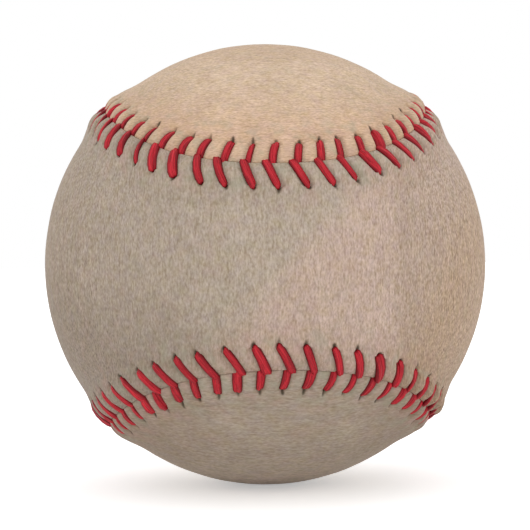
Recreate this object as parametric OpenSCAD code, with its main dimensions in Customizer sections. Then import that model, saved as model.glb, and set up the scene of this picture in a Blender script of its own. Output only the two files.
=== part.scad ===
// Baseball: a stitched leather ball, built up from the middle in layers.
// The origin is the ball's centre, with +Z up. The waist of the front cover panel faces -Y with its two
// lobes at -X and +X. The back panel's waist faces +Y and its lobes are at the top and at the bottom.

/* [Core] */
// Diameter of the cork ball in the middle
cork_d = 20.64; // [16:0.02:26]
// Wall of each black rubber half shell
shell_wall = 3.97; // [2:0.01:6]
// Thickness of the flat red gasket between the two half shells
gasket_t = 1; // [0.5:0.1:2]
// Wall of the red rubber layer moulded round the half shells
red_layer_wall = 2.38; // [1.5:0.01:4]
// Film of rubber cement that holds the start of the yarn
core_cement_t = 0.12; // [0.08:0.01:0.4]

/* [Windings] */
// Build-up of the first winding, four-ply grey wool
first_wool_t = 14.2; // [10:0.05:18]
// Build-up of the second winding, three-ply white wool
second_wool_t = 1.7; // [1:0.05:3]
// Build-up of the third winding, three-ply grey wool
third_wool_t = 2.2; // [1:0.05:4]
// Build-up of the last winding, fine white string
string_t = 0.45; // [0.3:0.05:1.2]
// Film of adhesive between the string and the leather
cover_cement_t = 0.12; // [0.08:0.01:0.4]

/* [Cover] */
// Thickness of the leather
leather_t = 1.2; // [1:0.05:1.6]
// Gap between the two panels along the seam
seam_gap = 0.2; // [0.1:0.02:0.4]
// Height of the leather over the ball at the edge of a panel
edge_rise = 0.65; // [0.4:0.05:0.9]
// Height of the leather over the ball at the top of the welt
welt_rise = 1.15; // [0.9:0.05:1.4]
// Distance from the seam line to the top of the welt
welt_crest_at = 2.2; // [1.9:0.05:2.5]
// Distance from the seam line to the foot of the welt
welt_foot_at = 6.8; // [6:0.1:7.4]

/* [Stitches] */
// Number of stitches, each with one leg over either panel
stitch_count = 108; // [96:2:112]
// Diameter of the waxed thread
thread_d = 1.1; // [0.8:0.05:1.15]
// Rise of the thread's middle line between its two ends
thread_arch = 0.9; // [0.8:0.05:1]
// Distance from the seam line to the inner end of a leg
leg_start_at = 0.75; // [0.7:0.05:0.9]
// Distance from the seam line to the needle hole
hole_at = 3.75; // [3.4:0.05:4]
// Distance along the seam that a front leg's hole lies behind its inner end
front_slant = 2.2; // [1:0.1:2.4]
// Distance along the seam that a back leg's hole lies behind its inner end
back_slant = 0.6; // [0:0.1:1.6]
// Distance along the seam between the inner ends of a stitch's two legs
leg_stagger = 1.1; // [0.6:0.1:1.6]

/* [Hidden] */

// Clearance between one layer and the next
layer_gap = 0.05;
// Clearance under the leather, which is made of small flats
bed_gap = 0.2;
// Clearance between a leg and the leather round it
thread_gap = 0.14;
// Depth that the two ends of a leg reach below the ball's own surface
end_depth = 0.05;
// Dip of the leather beside a hole and beside a notch
hole_dip = 0.1;
// How far past the parts a cut runs
overrun = 1;
// Distance from the seam line to the ring where the plain middle of a panel begins
ring_at = welt_foot_at + leather_t;

// Share of the third harmonic in the seam's curve, which sets how narrow the waists are
seam_share = 0.3;
// Share of the sixth harmonic, which flattens the seam at the waists
ripple_share = 0.04;
// Share of one stitch by which the first stitch lies past the middle of the upper front seam
phase_share = 0.25;

cork_r = cork_d / 2;
shell_in = cork_r + layer_gap;
shell_out = shell_in + shell_wall;
red_in = shell_out + layer_gap;
red_out = red_in + red_layer_wall;
core_cement_in = red_out + layer_gap;
core_cement_out = core_cement_in + core_cement_t;
first_in = core_cement_out + layer_gap;
first_out = first_in + first_wool_t;
second_in = first_out + layer_gap;
second_out = second_in + second_wool_t;
third_in = second_out + layer_gap;
third_out = third_in + third_wool_t;
string_in = third_out + layer_gap;
string_out = string_in + string_t;
cover_cement_in = string_out + layer_gap;
cover_cement_out = cover_cement_in + cover_cement_t;
ball_r = cover_cement_out + bed_gap + leather_t;

thread_r = thread_d / 2;
groove_w = thread_d + 2 * thread_gap;

// The seam's curve, as directions from the ball's centre
curve_steps = 720;
function unit(v) = v / norm(v);
function seam_dir(t) =
    let (a = 1 - seam_share, b = seam_share,
         x = a * cos(t) + b * cos(3 * t),
         y = a * sin(t) - b * sin(3 * t),
         z = 2 * sqrt(a * b) * sin(2 * t) + ripple_share * sin(6 * t))
    unit([(x - y) / sqrt(2), -z, (x + y) / sqrt(2)]);
function seam_step(i) =
    norm(seam_dir((i + 1) * 360 / curve_steps) - seam_dir(i * 360 / curve_steps)) * ball_r;
seam_table = [for (i = 0, run = 0; i <= curve_steps; run = run + seam_step(i), i = i + 1)
    [run, i * 360 / curve_steps]];
seam_len = seam_table[curve_steps][0];
pitch = seam_len / stitch_count;
first_stitch = seam_len / 8 + phase_share * pitch;

// A place on the ball: run is the way along the seam, off the way square to it, rise the height over the ball
function seam_angle(run) = lookup(run - seam_len * floor(run / seam_len), seam_table);
function place_dir(run, off) =
    let (t = seam_angle(run), turn = 360 / curve_steps,
         p = seam_dir(t),
         along = unit(seam_dir(t + turn) - seam_dir(t - turn)),
         angle = off / ball_r * 180 / PI)
    unit(cos(angle) * p + sin(angle) * cross(p, along));
function place(run, off, rise) = (ball_r + rise) * place_dir(run, off);

// A leg of the thread: side is 1 over the front panel and -1 over the back panel
function slant(side) = side > 0 ? front_slant : back_slant;
function leg_start_run(side, i) = first_stitch + i * pitch + side * leg_stagger / 2;
function leg_span(side) = norm([hole_at - leg_start_at, slant(side)]);
function arch_r(side) = (pow(leg_span(side) / 2, 2) + pow(thread_arch, 2)) / (2 * thread_arch);
function arch_half_angle(side) = asin(leg_span(side) / 2 / arch_r(side));
// Height of the thread's underside over the ball, at a distance from the seam line
function thread_underside(side, off) =
    let (mid = (leg_start_at + hole_at) / 2,
         x = min(abs(off - mid) * leg_span(side) / (hole_at - leg_start_at), leg_span(side) / 2),
         in_r = arch_r(side) - thread_r)
    sqrt(max(pow(in_r, 2) - pow(x, 2), 0)) - arch_r(side) + thread_arch - end_depth
        - pow(leg_span(side), 2) / (8 * ball_r);

// The leather's outer height between two stitches
function welt_height(off) =
    off < welt_crest_at
        ? edge_rise + (welt_rise - edge_rise) * sin(90 * off / welt_crest_at)
        : off < welt_foot_at
            ? welt_rise * (1 + cos(180 * (off - welt_crest_at) / (welt_foot_at - welt_crest_at))) / 2
            : 0;

// Rows of the leather beside the seam, as distances from the seam line. The first two rows hold the notch
// for a leg's inner end, and the fourth and fifth its needle hole.
edge_at = seam_gap / 2;
notch_at = leg_start_at + thread_r;
hole_near = hole_at - thread_r;
hole_far = hole_at + thread_r;
crest_row_at = (notch_at + hole_near) / 2;
rows = [edge_at, notch_at, crest_row_at, hole_near, hole_far, welt_foot_at];
inner_rows = [0, 1, 3, 4];

// Columns of the leather: two beside each leg and one between stitches
function column_run(side, j, off) =
    let (i = floor(j / 3), k = j - 3 * i,
         beside = [-groove_w / 2, groove_w / 2, pitch / 2])
    leg_start_run(side, i) + beside[k]
        - slant(side) * max(0, min(1, (off - leg_start_at) / (hole_at - leg_start_at)));
function outer_rise(side, j, r) =
    let (k = j - 3 * floor(j / 3), open = welt_height(rows[r]))
    k == 2 || r == 5 ? open
        : r == 0 || r == 4 ? open - hole_dip
        : min(open, thread_underside(side, rows[r]) - thread_gap);
function inner_rise(side, j, r) = max(outer_rise(side, j, r), 0) - leather_t;

// One cover panel as a closed shell of triangles. Its plain middle is laid on ribs that run from one side
// of the panel to the other, across the spine.
columns = 3 * stitch_count;
rib_rows = 12;
ribs = stitch_count / 2;
function ring_run(side, c) = column_run(side, 3 * c + 2, ring_at);
function spine_stitch(side) =
    let (crossing = side > 0 ? seam_len * 3 / 8 : seam_len / 8)
    round((crossing - ring_run(side, 0)) / pitch);
function between(p, q, share) =
    let (w = acos(p * q))
    (sin((1 - share) * w) * p + sin(share * w) * q) / sin(w);
function ring_dirs(side) = [for (c = [0 : stitch_count - 1]) place_dir(ring_run(side, c), side * ring_at)];
function middle_dirs(side, ring) =
    let (c = spine_stitch(side) + stitch_count)
    [for (m = [1 : ribs - 1], k = [1 : rib_rows - 1])
        between(ring[(c + m) % stitch_count], ring[(c - m) % stitch_count], k / rib_rows)];
function panel_points(side) =
    let (ring = ring_dirs(side), middle = middle_dirs(side, ring))
    concat(
        [for (r = [0 : len(rows) - 1], j = [0 : columns - 1])
            place(column_run(side, j, rows[r]), side * rows[r], outer_rise(side, j, r))],
        [for (r = inner_rows, j = [0 : columns - 1])
            place(column_run(side, j, rows[r]), side * rows[r], inner_rise(side, j, r))],
        [for (d = ring) ball_r * d],
        [for (d = ring) (ball_r - leather_t) * d],
        [for (d = middle) ball_r * d],
        [for (d = middle) (ball_r - leather_t) * d]);

outer_rows = len(rows);
ring_base = (outer_rows + len(inner_rows)) * columns;
middle_base = ring_base + 2 * stitch_count;
function quad(a, b, c, d) = [[a, b, c], [a, c, d]];
function flat(lists) = [for (l = lists) each l];
function outer_at(r, j) = r * columns + j % columns;
function inner_at(r, j) = (outer_rows + r) * columns + j % columns;
// layer is 0 for the outer face and 1 for the inner face
function ring_at_index(layer, c) = ring_base + layer * stitch_count + (c + stitch_count) % stitch_count;
function rib_at(side, layer, m, k) =
    let (c = spine_stitch(side) + stitch_count)
    m == 0 ? ring_at_index(layer, c)
        : m == ribs ? ring_at_index(layer, c + ribs)
        : k == 0 ? ring_at_index(layer, c + m)
        : k == rib_rows ? ring_at_index(layer, c - m)
        : middle_base + layer * (ribs - 1) * (rib_rows - 1) + (m - 1) * (rib_rows - 1) + k - 1;
function is_open(r, j, notch_row, hole_row) = j % 3 == 0 && (r == notch_row || r == hole_row);

function outer_band(side) = flat([for (r = [0 : outer_rows - 2], j = [0 : columns - 1])
    if (!is_open(r, j, 0, 3))
        quad(outer_at(r, j), outer_at(r + 1, j), outer_at(r + 1, j + 1), outer_at(r, j + 1))]);
function inner_band(side) = flat([for (r = [0 : len(inner_rows) - 2], j = [0 : columns - 1])
    if (!is_open(r, j, 0, 2))
        quad(inner_at(r, j), inner_at(r, j + 1), inner_at(r + 1, j + 1), inner_at(r + 1, j))]);
function edge_wall() = flat([for (j = [0 : columns - 1])
    if (j % 3 != 0) quad(outer_at(0, j), outer_at(0, j + 1), inner_at(0, j + 1), inner_at(0, j))]);
function notch_walls() = flat([for (i = [0 : stitch_count - 1]) let (j = 3 * i) flat([
    quad(outer_at(0, j), outer_at(1, j), inner_at(1, j), inner_at(0, j)),
    quad(outer_at(1, j), outer_at(1, j + 1), inner_at(1, j + 1), inner_at(1, j)),
    quad(outer_at(1, j + 1), outer_at(0, j + 1), inner_at(0, j + 1), inner_at(1, j + 1))])]);
function hole_walls() = flat([for (i = [0 : stitch_count - 1]) let (j = 3 * i) flat([
    quad(outer_at(3, j), outer_at(4, j), inner_at(3, j), inner_at(2, j)),
    quad(outer_at(4, j), outer_at(4, j + 1), inner_at(3, j + 1), inner_at(3, j)),
    quad(outer_at(4, j + 1), outer_at(3, j + 1), inner_at(2, j + 1), inner_at(3, j + 1)),
    quad(outer_at(3, j + 1), outer_at(3, j), inner_at(2, j), inner_at(2, j + 1))])]);
// Between the last row of a face, with three columns a stitch, and its ring, with one point a stitch
function join_up(layer) = flat([for (c = [0 : stitch_count - 1])
    let (row = layer == 0 ? outer_rows - 1 : outer_rows + len(inner_rows) - 1,
         f = [for (n = [2 : 5]) row * columns + (3 * c + n) % columns],
         here = ring_at_index(layer, c), next = ring_at_index(layer, c + 1))
    [[f[0], here, f[1]], [f[1], here, f[2]], [f[2], next, f[3]], [f[2], here, next]]]);
function middle_faces(side, layer) = flat([for (m = [0 : ribs - 1], k = [0 : rib_rows - 1])
    let (a = rib_at(side, layer, m + 1, k), b = rib_at(side, layer, m, k),
         c = rib_at(side, layer, m, k + 1), d = rib_at(side, layer, m + 1, k + 1))
    m == 0 ? [[a, b, d]] : m == ribs - 1 ? [[a, b, c]] : quad(a, b, c, d)]);
function turned(faces) = [for (f = faces) [f[2], f[1], f[0]]];
function panel_faces(side) =
    let (faces = concat(outer_band(side), inner_band(side), edge_wall(), notch_walls(), hole_walls(),
            join_up(0), turned(join_up(1)), middle_faces(side, 0), turned(middle_faces(side, 1))))
    side > 0 ? faces : turned(faces);

module layer_shell(inner_r, outer_r) {
    difference() {
        sphere(r = outer_r, $fn = 96);
        sphere(r = inner_r, $fn = 96);
    }
}

module half_space(above) {
    size = 2 * (shell_out + overrun);
    translate([-size / 2, -size / 2, above ? gasket_t / 2 + layer_gap : -size - gasket_t / 2 - layer_gap])
        cube(size);
}

module cork_core() {
    color("peru") sphere(r = cork_r, $fn = 96);
}

module lower_rubber_shell() {
    color("#26262a") intersection() {
        layer_shell(shell_in, shell_out);
        half_space(false);
    }
}

module upper_rubber_shell() {
    color("#26262a") intersection() {
        layer_shell(shell_in, shell_out);
        half_space(true);
    }
}

module shell_gasket() {
    width = 2 * (shell_out + overrun);
    color("firebrick") intersection() {
        layer_shell(shell_in, shell_out);
        translate([-width / 2, -width / 2, -gasket_t / 2]) cube([width, width, gasket_t]);
    }
}

module red_rubber_layer() {
    color("firebrick") layer_shell(red_in, red_out);
}

module core_cement() {
    color("wheat") layer_shell(core_cement_in, core_cement_out);
}

module first_wool_winding() {
    color("#8a8782") layer_shell(first_in, first_out);
}

module second_wool_winding() {
    color("#e9e4d8") layer_shell(second_in, second_out);
}

module third_wool_winding() {
    color("#8a8782") layer_shell(third_in, third_out);
}

module string_winding() {
    color("ivory") layer_shell(string_in, string_out);
}

module cover_cement() {
    color("wheat") layer_shell(cover_cement_in, cover_cement_out);
}

module front_panel() {
    color("#ab9a86") polyhedron(points = panel_points(1), faces = panel_faces(1), convexity = 8);
}

module back_panel() {
    color("#c9ad8f") polyhedron(points = panel_points(-1), faces = panel_faces(-1), convexity = 8);
}

module leg(side, i) {
    start = place(leg_start_run(side, i), side * leg_start_at, -end_depth);
    end = place(leg_start_run(side, i) - slant(side), side * hole_at, -end_depth);
    span = norm(end - start);
    out = unit(start + end);
    along = (start - end) / span;
    up = unit(out - (out * along) * along);
    flank = cross(along, up);
    radius = (pow(span / 2, 2) + pow(thread_arch, 2)) / (2 * thread_arch);
    half = asin(span / 2 / radius);
    middle = (start + end) / 2 - up * (radius - thread_arch);
    multmatrix([
        [along[0], up[0], flank[0], middle[0]],
        [along[1], up[1], flank[1], middle[1]],
        [along[2], up[2], flank[2], middle[2]],
        [0, 0, 0, 1]])
        rotate([0, 0, 90 - half])
            rotate_extrude(angle = 2 * half, $fn = 32) translate([radius, 0]) circle(r = thread_r, $fn = 16);
}

module seam_thread() {
    color("crimson") for (side = [1, -1], i = [0 : stitch_count - 1]) leg(side, i);
}

cork_core();
lower_rubber_shell();
upper_rubber_shell();
shell_gasket();
red_rubber_layer();
core_cement();
first_wool_winding();
second_wool_winding();
third_wool_winding();
string_winding();
cover_cement();
front_panel();
back_panel();
seam_thread();
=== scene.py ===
import math

import bmesh
import bpy
import numpy as np
from mathutils import Euler, Matrix


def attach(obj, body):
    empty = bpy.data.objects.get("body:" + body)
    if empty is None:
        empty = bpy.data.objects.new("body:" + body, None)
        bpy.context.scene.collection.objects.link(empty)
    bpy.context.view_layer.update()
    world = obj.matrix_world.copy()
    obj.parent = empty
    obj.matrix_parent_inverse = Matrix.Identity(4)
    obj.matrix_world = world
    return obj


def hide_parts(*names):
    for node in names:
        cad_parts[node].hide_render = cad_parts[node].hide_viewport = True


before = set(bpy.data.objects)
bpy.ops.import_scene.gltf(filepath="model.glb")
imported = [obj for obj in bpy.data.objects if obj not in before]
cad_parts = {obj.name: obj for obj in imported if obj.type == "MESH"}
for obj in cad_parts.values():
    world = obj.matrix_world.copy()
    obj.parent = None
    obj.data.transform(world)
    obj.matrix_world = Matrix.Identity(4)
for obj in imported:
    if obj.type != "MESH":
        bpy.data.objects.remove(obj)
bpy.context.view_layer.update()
print("stage 1: loaded", len(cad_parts), "nodes of the frame")

mm = 0.001
stitchDice = np.random.default_rng(108)
toneDice = np.random.default_rng(27)
leatherDice = np.random.default_rng(54)


# helpers for materials

def paint(red, green, blue):
    # a screen colour, 0 to 255, as the linear colour that a socket takes
    linear = [c / 255 / 12.92 if c <= 10 else ((c / 255 + 0.055) / 1.055) ** 2.4
              for c in (red, green, blue)]
    return (*linear, 1.0)


def addNode(tree, kind, sockets=None, **settings):
    # each socket, by its name or number, takes a link from another socket or a plain value
    node = tree.nodes.new("ShaderNode" + kind)
    for name, value in settings.items():
        setattr(node, name, value)
    for name, value in (sockets or {}).items():
        if isinstance(value, bpy.types.NodeSocket):
            tree.links.new(value, node.inputs[name])
        else:
            node.inputs[name].default_value = value
    return node


def calculate(tree, operation, first, second=0.0, third=0.0):
    sockets = {0: first, 1: second, 2: third}
    return addNode(tree, "Math", sockets, operation=operation).outputs[0]


def times(tree, value, factor, more=None):
    # the product, with more added to it
    if more is None:
        return calculate(tree, "MULTIPLY", value, factor)
    return calculate(tree, "MULTIPLY_ADD", value, factor, more)


def mixColours(tree, share, first, second, blend="MIX"):
    sockets = {0: share, 6: first, 7: second}
    return addNode(tree, "Mix", sockets, data_type="RGBA", blend_type=blend).outputs[2]


def spread(tree, value, low, high, toLow=0.0, toHigh=1.0, smooth=True):
    # the range from low to high, carried over to another range
    return addNode(tree, "MapRange", {
        "Value": value, "From Min": low, "From Max": high, "To Min": toLow, "To Max": toHigh,
    }, interpolation_type="SMOOTHSTEP" if smooth else "LINEAR").outputs["Result"]


def layOver(tree, colour, value, reach, share, shade):
    # the shade comes in from one value to another, up to its share
    return mixColours(tree, times(tree, spread(tree, value, *reach), share), colour, shade)


def newGroup(name, inputs, outputs):
    # inputs are a list of (name, socket type, default value), outputs one of (name, socket type)
    tree = bpy.data.node_groups.new(name, "ShaderNodeTree")
    for label, kind, value in inputs:
        socket = tree.interface.new_socket(label, in_out="INPUT", socket_type=kind)
        if value is not None:
            socket.default_value = value
    for label, kind in outputs:
        tree.interface.new_socket(label, in_out="OUTPUT", socket_type=kind)
    return tree, tree.nodes.new("NodeGroupInput").outputs, tree.nodes.new("NodeGroupOutput").inputs


def placeGroup(tree, group, sockets):
    return addNode(tree, "Group", sockets, node_tree=group).outputs


def newMaterial(name, **fixed):
    material = bpy.data.materials.new(name)
    material.use_nodes = True
    tree = material.node_tree
    shader = tree.nodes["Principled BSDF"]
    for label, value in fixed.items():
        shader.inputs[label].default_value = value
    coordinates = tree.nodes.new("ShaderNodeTexCoord").outputs["Object"]
    return material, tree, shader.inputs, coordinates


def stretched(tree, coordinates, x, y, z):
    # coordinates in metres times a count per metre on each axis
    return addNode(tree, "Mapping", {"Vector": coordinates, "Scale": (x, y, z)}).outputs[0]


def inMm(tree, coordinates):
    return stretched(tree, coordinates, 1000, 1000, 1000)


def scaled(tree, coordinates, x, y, z):
    # coordinates times shares that may change over the surface
    shares = addNode(tree, "CombineXYZ", {"X": x, "Y": y, "Z": z}).outputs[0]
    return addNode(tree, "VectorMath", {0: coordinates, 1: shares}, operation="MULTIPLY").outputs[0]


def addNoise(tree, coordinates, scale, detail=2.0, roughness=0.5, distortion=0.0):
    return addNode(tree, "TexNoise", {
        "Vector": coordinates, "Scale": scale, "Detail": detail,
        "Roughness": roughness, "Distortion": distortion,
    }).outputs["Fac"]


noiseReach = (0.3, 0.7)         # most of a noise lies between these


def addBump(tree, height, strength, distance):
    return addNode(tree, "Bump", {
        "Height": height, "Strength": strength, "Distance": distance,
    }).outputs["Normal"]


def joinShader(tree, sockets, colour, roughness, normal):
    for label, made in (("Base Color", colour), ("Roughness", roughness), ("Normal", normal)):
        tree.links.new(made, sockets[label])


# helpers for meshes

def keepForm(form, mesh):
    # the bmesh's shape goes into the mesh, and the bmesh is let go
    form.to_mesh(mesh)
    form.free()
    return mesh


def keepLayer(mesh, label, values, kind="FLOAT", part="value"):
    # one value or vector for every vertex, which a material reads by its label
    layer = mesh.attributes.new(label, kind, "POINT")
    layer.data.foreach_set(part, values.ravel())


def addObject(name, data):
    made = bpy.data.objects.new(name, data)
    bpy.context.scene.collection.objects.link(made)
    return made


# the seam's line

seam = {
    "ballRadius": 37.26 * mm,
    "harmonicShare": 0.3,       # how narrow the waists of the two panels are
    "rippleShare": 0.04,        # flattens the line at the waists
    "stitches": 108,
    "phaseShare": 0.25,         # the first stitch lies so far past the middle of the upper front seam
    "curveSteps": 5760,
    "turnStep": 2 * math.pi / 720,  # between the two points that give the line's direction
}


def unitRays(rays):
    return rays / np.linalg.norm(rays, axis=-1, keepdims=True)


def seamRays(turn):
    large, small = 1 - seam["harmonicShare"], seam["harmonicShare"]
    x = large * np.cos(turn) + small * np.cos(3 * turn)
    y = large * np.sin(turn) - small * np.sin(3 * turn)
    z = 2 * math.sqrt(large * small) * np.sin(2 * turn) + seam["rippleShare"] * np.sin(6 * turn)
    return unitRays(np.stack([(x - y) / math.sqrt(2), -z, (x + y) / math.sqrt(2)], axis=-1))


curveTurns = np.linspace(0, 2 * math.pi, seam["curveSteps"] + 1)
curveLengths = np.linalg.norm(np.diff(seamRays(curveTurns), axis=0), axis=1) * seam["ballRadius"]
curveRuns = np.concatenate([[0.0], np.cumsum(curveLengths)])
seamLength = curveRuns[-1]
pitch = seamLength / seam["stitches"]
firstStitch = seamLength / 8 + seam["phaseShare"] * pitch


def placeRays(run, off):
    # run is the way along the seam, and off the way square to it, positive over the front panel
    turn = np.interp(run % seamLength, curveRuns, curveTurns)
    ray = seamRays(turn)
    along = unitRays(seamRays(turn + seam["turnStep"]) - seamRays(turn - seam["turnStep"]))
    angle = (off / seam["ballRadius"])[..., None]
    return unitRays(np.cos(angle) * ray + np.sin(angle) * np.cross(ray, along))


print("stage 2: seam", round(seamLength / mm, 1), "mm, stitch pitch", round(pitch / mm, 2), "mm")


# the stitches: one leg over each panel, front legs on top of the feet of the back legs

stitches = {
    "plyRadius": 0.411 * mm,
    "plySpread": 0.276 * mm,    # from a leg's middle to the middle of each ply
    "plySides": 8,
    "plyTwist": math.radians(55),
    "twistShares": (0.5, 1.4),  # single legs have between so much of that twist
    "flatten": 0.88,
    # how much single legs stray
    "hole": 0.12 * mm,          # in the needle hole's place
    "lead": 0.17 * mm,          # along the seam
    "slant": 0.08,
    "swell": 0.13,              # in fullness
    "turn": math.radians(16),   # in how the two plies lie
    "slope": 0.22,              # in how much fuller they get towards one end
    "slopeMean": 0.3,           # the middle of that, as a share of it
    "slopeLimit": 1.8,
    "turnSlope": 0.3,           # how much fuller at the holes they are where the seam turns sharply
    "bow": 0.12 * mm,           # how far a leg's leading side bulges
    "bowStray": 0.7,
    # the dark mark past each needle hole
    "markLengths": (0.42, 0.76),    # in mm
    "markGap": 0.75,            # how far it may lie from the hole, in mm
    "markLeans": (-0.35, 0.15),
    "grime": (0.55, 1.0),       # how dark it is
    # the thread's fibres
    "fibreShift": 3.1,          # from one leg to the next, so that no two look the same
    "fibreStretch": 4.0,
}
# a turn tuple has a number for each sharp turn of the seam, seen from the front: upper right, upper left,
# lower left, lower right. As shares, turnReach is added there to the way to the needle hole, turnPuff to
# the leather's swelling between two stitches, and turnSwell, halfway to the turn, to the legs' fullness.
# turnSink is how much deeper the legs lie, in mm, and turnSlant goes for all four turns.
# each row of a path: share of the slant, share of the way to the needle hole, height over the ball in mm,
# how full the thread is there, and how far it is cut along the seam and not square to the leg
legs = {
    "front": {
        "side": 1, "holeAt": 3.9 * mm, "slant": 1.7 * mm, "lead": 0.40 * mm,
        "welt": 0.91 * mm, "foot": 7.2 * mm,
        "turnReach": (-0.14, -0.09, 0.08, -0.20),
        "turnPuff": (-0.2, 0.0, -0.8, 1.2),
        "turnSwell": (0.16, 0.0, 0.06, 0.0),
        "turnSink": (0.14, 0.04, 0.02, 0.0),
        "turnSlant": -0.30,
        "tipMark": 1.5,         # size of the dark spot round the needle hole
        "path": (
            (-0.20, -0.13, 0.10, 0.46, 0.5),
            (-0.15, -0.08, 0.42, 0.86, 0.7),
            (-0.02, 0.04, 0.52, 1.06, 0.7),
            (0.18, 0.24, 0.62, 1.08, 0.3),
            (0.48, 0.54, 0.62, 1.07, 0.0),
            (0.78, 0.81, 0.43, 1.05, -0.1),
            (0.94, 0.94, 0.18, 0.98, -0.3),
            (1.0, 1.0, -0.24, 0.65, -0.3),
        ),
    },
    "back": {
        "side": -1, "holeAt": 3.5 * mm, "slant": 0.65 * mm, "lead": -0.10 * mm,
        "welt": 0.78 * mm, "foot": 7.8 * mm,
        "turnReach": (-0.20, -0.17, -0.10, -0.16),
        "turnPuff": (0.6, 0.0, -0.6, 0.0),
        "turnSwell": (0.08, 0.0, 0.14, 0.0),
        "turnSink": (0.04, 0.03, 0.0, 0.0),
        "turnSlant": -0.45,
        "tipMark": 1.0,
        "path": (
            (0.0, -0.09, -0.38, 0.80, 0.0),
            (0.0, -0.01, -0.02, 1.00, 0.0),
            (0.08, 0.13, 0.24, 1.04, 0.0),
            (0.30, 0.35, 0.42, 1.06, 0.0),
            (0.55, 0.61, 0.41, 1.04, 0.0),
            (0.80, 0.83, 0.27, 1.01, -0.1),
            (0.94, 0.94, 0.06, 0.91, -0.3),
            (1.0, 1.0, -0.28, 0.56, -0.3),
        ),
    },
}


def strays(limit=2):
    return stitchDice.normal(0, 1, seam["stitches"]).clip(-limit, limit)


def anyFrom(low, high):
    return stitchDice.uniform(low, high, seam["stitches"])


def layLegs(leg):
    # every leg's own place, shape and marks
    places = np.arange(seam["stitches"]) * pitch
    leg["starts"] = firstStitch + places + leg["lead"] + stitches["lead"] * strays()
    holes = leg["holeAt"] + stitches["hole"] * strays()
    slants = leg["slant"] * (1 + stitches["slant"] * strays())
    swells = 1 + stitches["swell"] * strays()
    leg["turns"] = stitches["turn"] * strays()
    leg["twists"] = stitches["plyTwist"] * anyFrom(*stitches["twistShares"])
    leg["marks"] = anyFrom(*stitches["markLengths"]) * mm
    leg["gaps"] = anyFrom(0.0, 1.0) ** 2 * stitches["markGap"] * mm
    leg["leans"] = anyFrom(*stitches["markLeans"])
    slopes = stitches["slope"] * (stitches["slopeMean"] + strays(stitches["slopeLimit"]))

    # sharpness is 0 where the seam runs straight and 2 where it turns most sharply
    sharpness = 1 - np.cos(8 * math.pi * (leg["starts"] / seamLength - 1 / 8))
    nearTurn = sharpness.clip(0, 1)
    halfway = sharpness * (2 - sharpness)
    nearestTurn = np.rint(4 * leg["starts"] / seamLength).astype(int) % 4
    reach, puff, swell, sink = (np.array(leg[name])[nearestTurn]
                                for name in ("turnReach", "turnPuff", "turnSwell", "turnSink"))
    leg["slopes"] = slopes + stitches["turnSlope"] * sharpness / 2
    leg["holes"] = holes * (1 + reach * nearTurn)
    leg["slants"] = slants * (1 + leg["turnSlant"] * nearTurn)
    leg["puffs"] = 1 + puff * nearTurn
    leg["swells"] = swells * (1 + swell * halfway)
    leg["sinks"] = sink * sharpness ** 2 / 4 * mm
    leg["bows"] = stitches["bow"] * (1 + stitches["bowStray"] * strays())
    leg["grime"] = anyFrom(*stitches["grime"])
    leg["tones"] = toneDice.uniform(0.0, 1.0, seam["stitches"])


for leg in legs.values():
    layLegs(leg)


def plyTemplate(rings):
    # one ply as a straight closed rod of unit radius with a ring for each row of the path
    form = bmesh.new()
    bmesh.ops.create_cone(form, cap_ends=True, cap_tris=False, segments=stitches["plySides"],
                          radius1=1, radius2=1, depth=1)
    long = [e for e in form.edges if abs(e.verts[0].co.z - e.verts[1].co.z) > 0.5]
    bmesh.ops.subdivide_edges(form, edges=long, cuts=rings - 2, use_grid_fill=True)
    for face in form.faces:
        face.smooth = len(face.verts) == 4
    return keepForm(form, bpy.data.meshes.new("plyTemplate"))


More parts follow.
